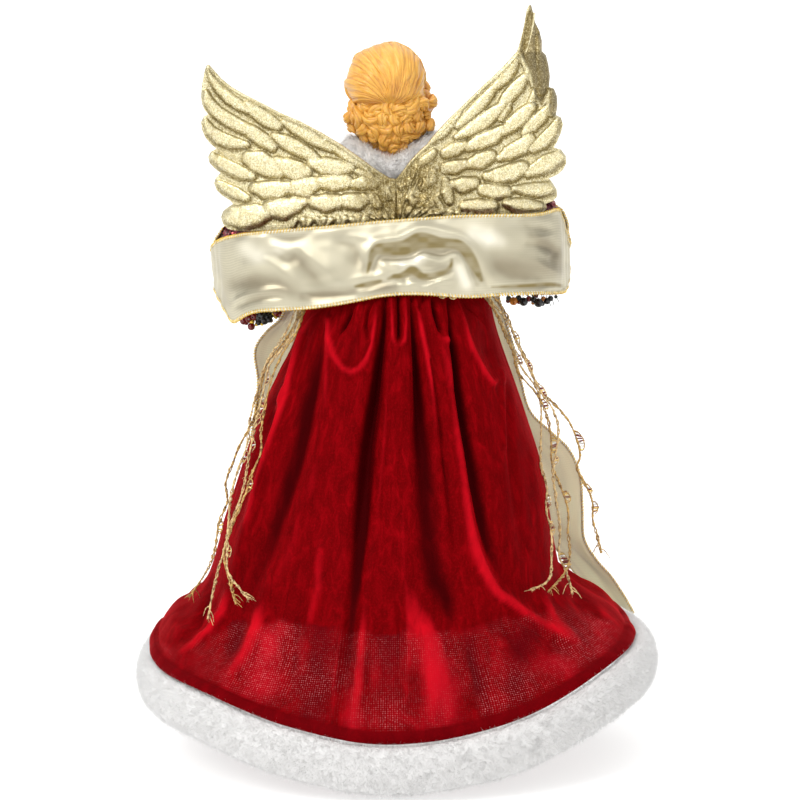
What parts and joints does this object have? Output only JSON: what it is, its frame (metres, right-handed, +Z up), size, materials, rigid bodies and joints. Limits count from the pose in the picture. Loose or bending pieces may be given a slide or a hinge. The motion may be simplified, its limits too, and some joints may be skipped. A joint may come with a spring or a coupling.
{
  "type": "angel tree topper",
  "caption": "Angel figure on a hollow cone that slips over the tip of a tree, with velvet skirt, fur hem, ribbon stole and bendable wings and arms.",
  "frame": {"origin": "middle of the cone's lower rim, where the tree's tip goes in", "axes": "+Z up along the cone, the angel faces -Y, its left hand is on +X"},
  "size_m": [0.268, 0.2436, 0.3706],
  "materials": {
    "cone_plastic": "matte off-white moulded plastic",
    "foam": "matte foam",
    "post_wood": "plain turned wood",
    "velvet": "deep red knit velvet with a bright pile sheen",
    "faux_fur": "short dense white faux fur",
    "gold_lame": "pale gold metallic cloth, embossed, soft metallic gloss",
    "gold_ribbon": "champagne gold metallic ribbon with yellow-gold overlocked edges",
    "gold_yarn": "two-ply gold ladder yarn",
    "sequin_cloth": "dark maroon cloth covered with sequins",
    "beads": "glossy black, red, amber and gold beads",
    "hair_plastic": "satin moulded plastic, orange blonde",
    "skin_plastic": "satin moulded plastic, painted",
    "steel_wire": "plain steel wire"
  },
  "bodies": {
    "base": {"inner_cone": "cone_plastic", "cone_cap": "cone_plastic", "neck_post": "post_wood", "torso_core": "foam", "shoulder_yoke": "foam", "bodice": "sequin_cloth", "waist_band": "gold_yarn", "velvet_skirt": "velvet", "fur_hem": "faux_fur", "head": "skin_plastic", "hair": "hair_plastic", "fur_collar": "faux_fur", "wing_pad": "foam", "wing_center": "gold_lame", "sash_back": "gold_ribbon", "ribbon_tail_left": "gold_ribbon", "ribbon_tail_right": "gold_ribbon", "yarn_knot_left": "gold_yarn", "yarn_knot_right": "gold_yarn", "yarn_left_1": "gold_yarn", "yarn_left_2": "gold_yarn", "yarn_left_3": "gold_yarn", "yarn_left_4": "gold_yarn", "yarn_right_1": "gold_yarn", "yarn_right_2": "gold_yarn", "yarn_right_3": "gold_yarn", "yarn_right_4": "gold_yarn", "yarn_loop": "gold_yarn"},
    "arm_left": {"arm_wire_left": "steel_wire", "sleeve_left": "sequin_cloth", "cuff_beads_left": "beads", "hand_left": "skin_plastic", "sash_loop_left": "gold_ribbon"},
    "arm_right": {"arm_wire_right": "steel_wire", "sleeve_right": "sequin_cloth", "cuff_beads_right": "beads", "hand_right": "skin_plastic", "sash_loop_right": "gold_ribbon"},
    "wing_left_body": {"wing_left": "gold_lame", "wing_wire_left": "steel_wire"},
    "wing_right_body": {"wing_right": "gold_lame", "wing_wire_right": "steel_wire"}
  },
  "joints": [
    {"name": "arm_left_bend", "type": "hinge", "parent": "base", "child": "arm_left", "pos_m": [0.0345, 0.001, 0.1995], "axis": [0, -1, 0], "range_deg": [-6, 8]},
    {"name": "arm_right_bend", "type": "hinge", "parent": "base", "child": "arm_right", "pos_m": [-0.0345, 0.001, 0.1995], "axis": [0, 1, 0], "range_deg": [-8, 6]},
    {"name": "wing_left_bend", "type": "hinge", "parent": "base", "child": "wing_left_body", "pos_m": [0.0161, 0.033, 0.2222], "axis": [0, -1, 0], "range_deg": [0, 12]},
    {"name": "wing_right_bend", "type": "hinge", "parent": "base", "child": "wing_right_body", "pos_m": [-0.0211, 0.033, 0.1884], "axis": [0, 1, 0], "range_deg": [-12, 0]}
  ]
}
